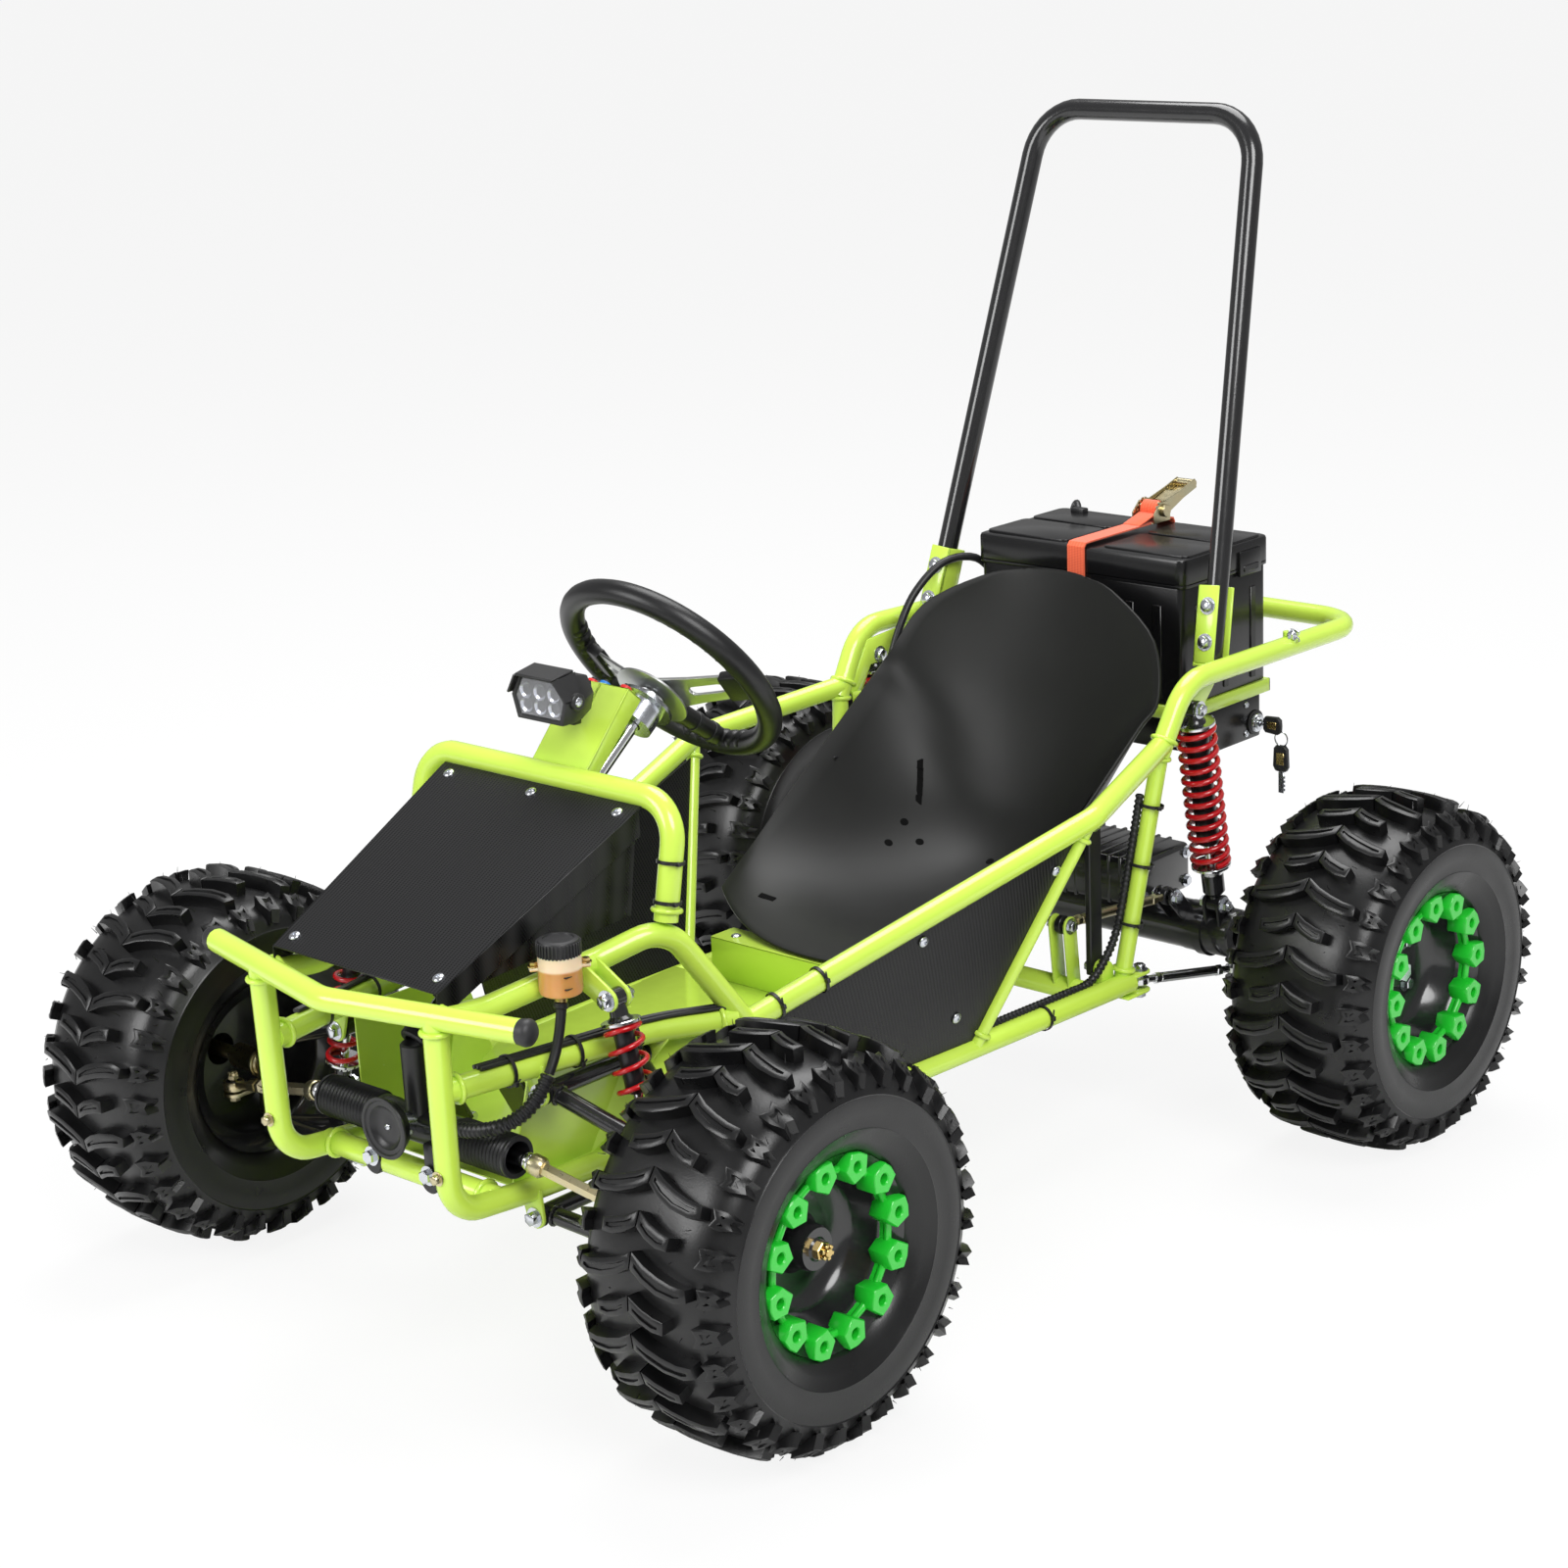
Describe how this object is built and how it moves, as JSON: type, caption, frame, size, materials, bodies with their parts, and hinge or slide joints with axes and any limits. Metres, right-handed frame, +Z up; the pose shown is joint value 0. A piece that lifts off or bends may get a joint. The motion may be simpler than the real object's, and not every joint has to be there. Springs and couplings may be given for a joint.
{
  "type": "off road go kart",
  "caption": "Electric off-road go-kart: welded tube frame, bucket seat, roll bar, battery box, knobbly tyres, steering, double-wishbone front and sprung rear axle.",
  "frame": {"origin": "on the ground under the middle of the kart's box", "axes": "+Z up, +Y to the rear (the kart faces -Y), +X to the driver's left"},
  "size_m": [1.092, 1.468, 1.1336],
  "materials": {
    "frame_green": "gloss lime powder coat",
    "black_gloss": "gloss black powder coat",
    "black_satin": "satin black",
    "black_metal": "satin black paint",
    "carbon_look": "black sheet with fine slanted stripes",
    "tyre_black": "matt rubber",
    "rubber_black": "satin rubber",
    "rim_black_green": "gloss black rim with a bright green lobed ring",
    "spring_red": "gloss red",
    "zinc": "bright zinc",
    "gold_zinc": "yellow zinc",
    "strap_orange": "woven webbing",
    "reservoir_amber": "clouded amber",
    "wheel_black": "soft black grip on a brushed hub"
  },
  "bodies": {
    "chassis": {"frame_left": "frame_green", "frame_right": "frame_green", "front_bumper": "frame_green", "steering_hoop": "frame_green", "rear_loop": "frame_green", "roll_bar": "black_gloss", "seat": "black_satin", "floor_pan": "frame_green", "nose_panel": "carbon_look", "side_panel_left": "carbon_look", "side_panel_right": "carbon_look", "battery_box": "black_satin", "battery_lid": "black_satin", "battery_strap": "strap_orange", "controller_box": "black_satin", "headlight": "black_satin", "brake_reservoir": "reservoir_amber", "wiring_loom": "rubber_black", "rack_housing": "rubber_black", "front_damper_body_left": "black_gloss", "front_damper_body_right": "black_gloss", "front_spring_left": "spring_red", "front_spring_right": "spring_red"},
    "steering": {"steering_wheel": "wheel_black", "steering_shaft": "zinc"},
    "rack": {"rack_bar": "zinc"},
    "lower_arm_left": {"lower_arm_left": "black_gloss"},
    "upper_arm_left": {"upper_arm_left": "black_gloss"},
    "kingpin_left": {"kingpin_left": "zinc"},
    "knuckle_left": {"knuckle_left": "black_metal"},
    "front_wheel_left": {"front_tyre_left": "tyre_black", "front_rim_left": "rim_black_green"},
    "tie_rod_left": {"tie_rod_left": "gold_zinc"},
    "front_damper_rod_left": {"front_damper_rod_left": "zinc"},
    "lower_arm_right": {"lower_arm_right": "black_gloss"},
    "upper_arm_right": {"upper_arm_right": "black_gloss"},
    "kingpin_right": {"kingpin_right": "zinc"},
    "knuckle_right": {"knuckle_right": "black_metal"},
    "front_wheel_right": {"front_tyre_right": "tyre_black", "front_rim_right": "rim_black_green"},
    "tie_rod_right": {"tie_rod_right": "gold_zinc"},
    "front_damper_rod_right": {"front_damper_rod_right": "zinc"},
    "rear_axle": {"rear_axle": "black_metal"},
    "rear_wheels": {"rear_tyre_left": "tyre_black", "rear_tyre_right": "tyre_black", "rear_rim_left": "rim_black_green", "rear_rim_right": "rim_black_green"},
    "lower_link_left": {"lower_link_left": "zinc"},
    "rear_damper_body_left": {"rear_damper_body_left": "black_gloss", "rear_spring_left": "spring_red"},
    "rear_damper_rod_left": {"rear_damper_rod_left": "zinc"},
    "lower_link_right": {"lower_link_right": "zinc"},
    "rear_damper_body_right": {"rear_damper_body_right": "black_gloss", "rear_spring_right": "spring_red"},
    "rear_damper_rod_right": {"rear_damper_rod_right": "zinc"},
    "upper_link": {"upper_link": "gold_zinc"},
    "brake_pedal": {"brake_pedal": "black_metal"},
    "throttle_pedal": {"throttle_pedal": "black_metal"},
    "ratchet_handle": {"ratchet_handle": "gold_zinc"},
    "ignition_key": {"ignition_key": "black_satin"}
  },
  "joints": [
    {"name": "steering_turn", "type": "hinge", "parent": "chassis", "child": "steering", "pos_m": [0, -0.227, 0.625], "axis": [0, 0.7923, 0.6101], "range_deg": [-90, 90]},
    {"name": "rack_slide", "type": "slide", "parent": "chassis", "child": "rack", "axis": [1, 0, 0], "range_m": [-0.0182, 0.0182]},
    {"name": "front_suspension_left", "type": "hinge", "parent": "chassis", "child": "lower_arm_left", "pos_m": [0.13, -0.519, 0.166], "axis": [0, -1, 0], "range_deg": [-3.7, 5], "stiffness_Nm_per_rad": 1100, "springref_deg": -2.58},
    {"name": "upper_arm_tilt_left", "type": "hinge", "parent": "chassis", "child": "upper_arm_left", "pos_m": [0.15, -0.5125, 0.3], "axis": [0, -1, 0], "range_deg": [-4.16, 5.6]},
    {"name": "kingpin_tilt_left", "type": "hinge", "parent": "lower_arm_left", "child": "kingpin_left", "pos_m": [0.335, -0.532, 0.136], "axis": [0, -1, 0], "range_deg": [-7.45, 5.51]},
    {"name": "knuckle_turn_left", "type": "hinge", "parent": "kingpin_left", "child": "knuckle_left", "pos_m": [0.335, -0.532, 0.202], "axis": [0, 0, 1], "range_deg": [-20, 20]},
    {"name": "front_wheel_spin_left", "type": "hinge", "parent": "knuckle_left", "child": "front_wheel_left", "pos_m": [0.4085, -0.532, 0.202], "axis": [1, 0, 0], "continuous": true},
    {"name": "tie_rod_tilt_left", "type": "hinge", "parent": "rack", "child": "tie_rod_left", "pos_m": [0.155, -0.61, 0.24], "axis": [0.148, -0.989, 0], "range_deg": [-4.27, 5.76]},
    {"name": "front_damper_stroke_left", "type": "slide", "parent": "chassis", "child": "front_damper_rod_left", "axis": [-0.2399, 0, 0.9708], "range_m": [-0.0073, 0.0098], "deforming": ["front_spring_left"]},
    {"name": "front_suspension_right", "type": "hinge", "parent": "chassis", "child": "lower_arm_right", "pos_m": [-0.13, -0.519, 0.166], "axis": [0, 1, 0], "range_deg": [-3.7, 5], "stiffness_Nm_per_rad": 1100, "springref_deg": -2.58},
    {"name": "upper_arm_tilt_right", "type": "hinge", "parent": "chassis", "child": "upper_arm_right", "pos_m": [-0.15, -0.5125, 0.3], "axis": [0, 1, 0], "range_deg": [-4.16, 5.6]},
    {"name": "kingpin_tilt_right", "type": "hinge", "parent": "lower_arm_right", "child": "kingpin_right", "pos_m": [-0.335, -0.532, 0.136], "axis": [0, 1, 0], "range_deg": [-7.45, 5.51]},
    {"name": "knuckle_turn_right", "type": "hinge", "parent": "kingpin_right", "child": "knuckle_right", "pos_m": [-0.335, -0.532, 0.202], "axis": [0, 0, 1], "range_deg": [-20, 20]},
    {"name": "front_wheel_spin_right", "type": "hinge", "parent": "knuckle_right", "child": "front_wheel_right", "pos_m": [-0.4085, -0.532, 0.202], "axis": [1, 0, 0], "continuous": true},
    {"name": "tie_rod_tilt_right", "type": "hinge", "parent": "rack", "child": "tie_rod_right", "pos_m": [-0.155, -0.61, 0.24], "axis": [0.148, 0.989, 0], "range_deg": [-4.27, 5.76]},
    {"name": "front_damper_stroke_right", "type": "slide", "parent": "chassis", "child": "front_damper_rod_right", "axis": [0.2399, 0, 0.9708], "range_m": [-0.0073, 0.0098], "deforming": ["front_spring_right"]},
    {"name": "rear_suspension", "type": "slide", "parent": "chassis", "child": "rear_axle", "axis": [0, 0, 1], "range_m": [-0.015, 0.02], "stiffness_N_per_m": 26000, "springref_m": -0.0125},
    {"name": "rear_wheels_spin", "type": "hinge", "parent": "rear_axle", "child": "rear_wheels", "pos_m": [0, 0.425, 0.202], "axis": [1, 0, 0], "continuous": true},
    {"name": "lower_link_tilt_left", "type": "hinge", "parent": "chassis", "child": "lower_link_left", "pos_m": [0.215, 0.292, 0.175], "axis": [1, 0, 0], "range_deg": [-6.2, 8.3]},
    {"name": "rear_damper_tilt_left", "type": "hinge", "parent": "chassis", "child": "rear_damper_body_left", "pos_m": [0.24, 0.366, 0.484], "axis": [1, 0, 0], "range_deg": [-0.6, 0.8]},
    {"name": "rear_damper_stroke_left", "type": "slide", "parent": "rear_damper_body_left", "child": "rear_damper_rod_left", "axis": [0, -0.166, 0.9861], "range_m": [-0.0149, 0.0199], "deforming": ["rear_spring_left"]},
    {"name": "lower_link_tilt_right", "type": "hinge", "parent": "chassis", "child": "lower_link_right", "pos_m": [-0.215, 0.292, 0.175], "axis": [1, 0, 0], "range_deg": [-6.2, 8.3]},
    {"name": "rear_damper_tilt_right", "type": "hinge", "parent": "chassis", "child": "rear_damper_body_right", "pos_m": [-0.24, 0.366, 0.484], "axis": [1, 0, 0], "range_deg": [-0.6, 0.8]},
    {"name": "rear_damper_stroke_right", "type": "slide", "parent": "rear_damper_body_right", "child": "rear_damper_rod_right", "axis": [0, -0.166, 0.9861], "range_m": [-0.0149, 0.0199], "deforming": ["rear_spring_right"]},
    {"name": "upper_link_tilt", "type": "hinge", "parent": "chassis", "child": "upper_link", "pos_m": [0.172, 0.205, 0.258], "axis": [1, 0, 0], "range_deg": [-4.95, 6.6]},
    {"name": "brake_pedal_press", "type": "hinge", "parent": "chassis", "child": "brake_pedal", "pos_m": [0.062, -0.5, 0.2023], "axis": [1, 0, 0], "range_deg": [0, 14], "stiffness_Nm_per_rad": 12, "springref_deg": -8.59},
    {"name": "throttle_pedal_press", "type": "hinge", "parent": "chassis", "child": "throttle_pedal", "pos_m": [-0.062, -0.5, 0.2023], "axis": [1, 0, 0], "range_deg": [0, 20], "stiffness_Nm_per_rad": 6, "springref_deg": -11.46},
    {"name": "ratchet_turn", "type": "hinge", "parent": "chassis", "child": "ratchet_handle", "pos_m": [0, 0.62008, 0.6436], "axis": [1, 0, 0], "range_deg": [-12, 95]},
    {"name": "key_turn", "type": "hinge", "parent": "chassis", "child": "ignition_key", "pos_m": [0.15, 0.61796, 0.39748], "axis": [1, 0, 0], "range_deg": [-90, 0]}
  ],
  "couplings": [
    {"joint": "rack_slide", "follows": "steering_turn", "m_per_rad": 0.01146},
    {"joint": "upper_arm_tilt_left", "follows": "front_suspension_left", "ratio": 1.108},
    {"joint": "kingpin_tilt_left", "follows": "front_suspension_left", "ratio": -1.473},
    {"joint": "knuckle_turn_left", "follows": "steering_turn", "ratio": 0.22},
    {"joint": "tie_rod_tilt_left", "follows": "front_suspension_left", "ratio": 1.139},
    {"joint": "front_damper_stroke_left", "follows": "front_suspension_left", "m_per_rad": 0.1113},
    {"joint": "upper_arm_tilt_right", "follows": "front_suspension_right", "ratio": 1.108},
    {"joint": "kingpin_tilt_right", "follows": "front_suspension_right", "ratio": -1.473},
    {"joint": "knuckle_turn_right", "follows": "steering_turn", "ratio": 0.22},
    {"joint": "tie_rod_tilt_right", "follows": "front_suspension_right", "ratio": 1.139},
    {"joint": "front_damper_stroke_right", "follows": "front_suspension_right", "m_per_rad": 0.1113},
    {"joint": "lower_link_tilt_left", "follows": "rear_suspension", "rad_per_m": 7.125},
    {"joint": "rear_damper_tilt_left", "follows": "rear_suspension", "rad_per_m": 0.675},
    {"joint": "rear_damper_stroke_left", "follows": "rear_suspension", "ratio": 0.986},
    {"joint": "lower_link_tilt_right", "follows": "rear_suspension", "rad_per_m": 7.125},
    {"joint": "rear_damper_tilt_right", "follows": "rear_suspension", "rad_per_m": 0.675},
    {"joint": "rear_damper_stroke_right", "follows": "rear_suspension", "ratio": 0.986},
    {"joint": "upper_link_tilt", "follows": "rear_suspension", "rad_per_m": 5.66}
  ]
}
